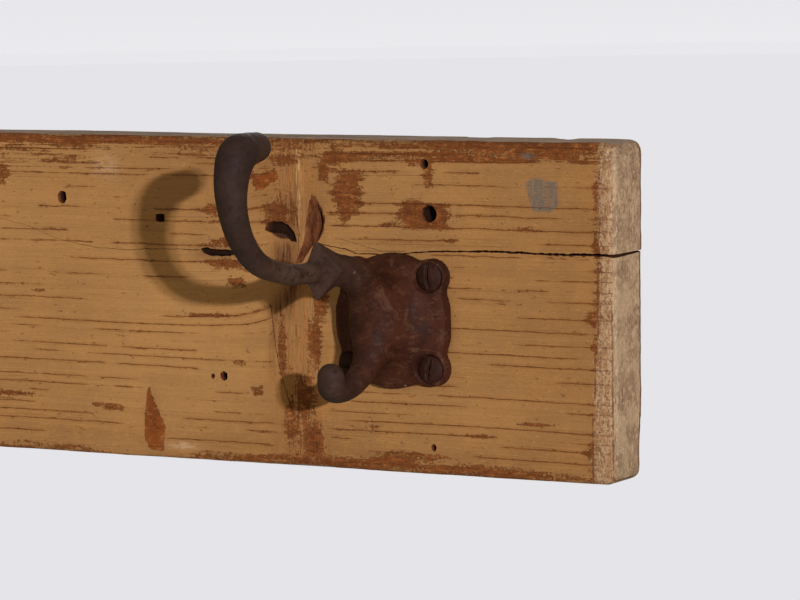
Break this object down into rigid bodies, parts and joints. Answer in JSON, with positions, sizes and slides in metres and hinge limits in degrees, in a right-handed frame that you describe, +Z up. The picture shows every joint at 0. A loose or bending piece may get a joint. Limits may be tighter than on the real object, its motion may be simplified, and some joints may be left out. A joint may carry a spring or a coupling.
{
  "type": "wall hook rack",
  "caption": "Worn wooden plank that screws flat to a wall and carries a row of rusty cast hat-and-coat hooks, each on a round eared plate.",
  "frame": {"origin": "centre of the plank's back face, which lies on the wall", "axes": "+X along the plank to the viewer's right, +Z up, +Y into the wall, so the hooks reach towards -Y"},
  "size_m": [0.752, 0.1131, 0.1084],
  "materials": {
    "plank": "thin worn ochre varnish over split, rough-sawn softwood",
    "hook": "dark brown rust with a dull waxy sheen",
    "screw": "rust-browned steel, slightly glossier on the crowns"
  },
  "bodies": {
    "root": {"board": "plank", "hook_1": "hook", "screw_1_upper_left": "screw", "screw_1_upper_right": "screw", "screw_1_lower_left": "screw", "screw_1_lower_right": "screw", "hook_2": "hook", "screw_2_upper_left": "screw", "screw_2_upper_right": "screw", "screw_2_lower_left": "screw", "screw_2_lower_right": "screw", "hook_3": "hook", "screw_3_upper_left": "screw", "screw_3_upper_right": "screw", "screw_3_lower_left": "screw", "screw_3_lower_right": "screw", "hook_4": "hook", "screw_4_upper_left": "screw", "screw_4_upper_right": "screw", "screw_4_lower_left": "screw", "screw_4_lower_right": "screw"}
  },
  "joints": []
}
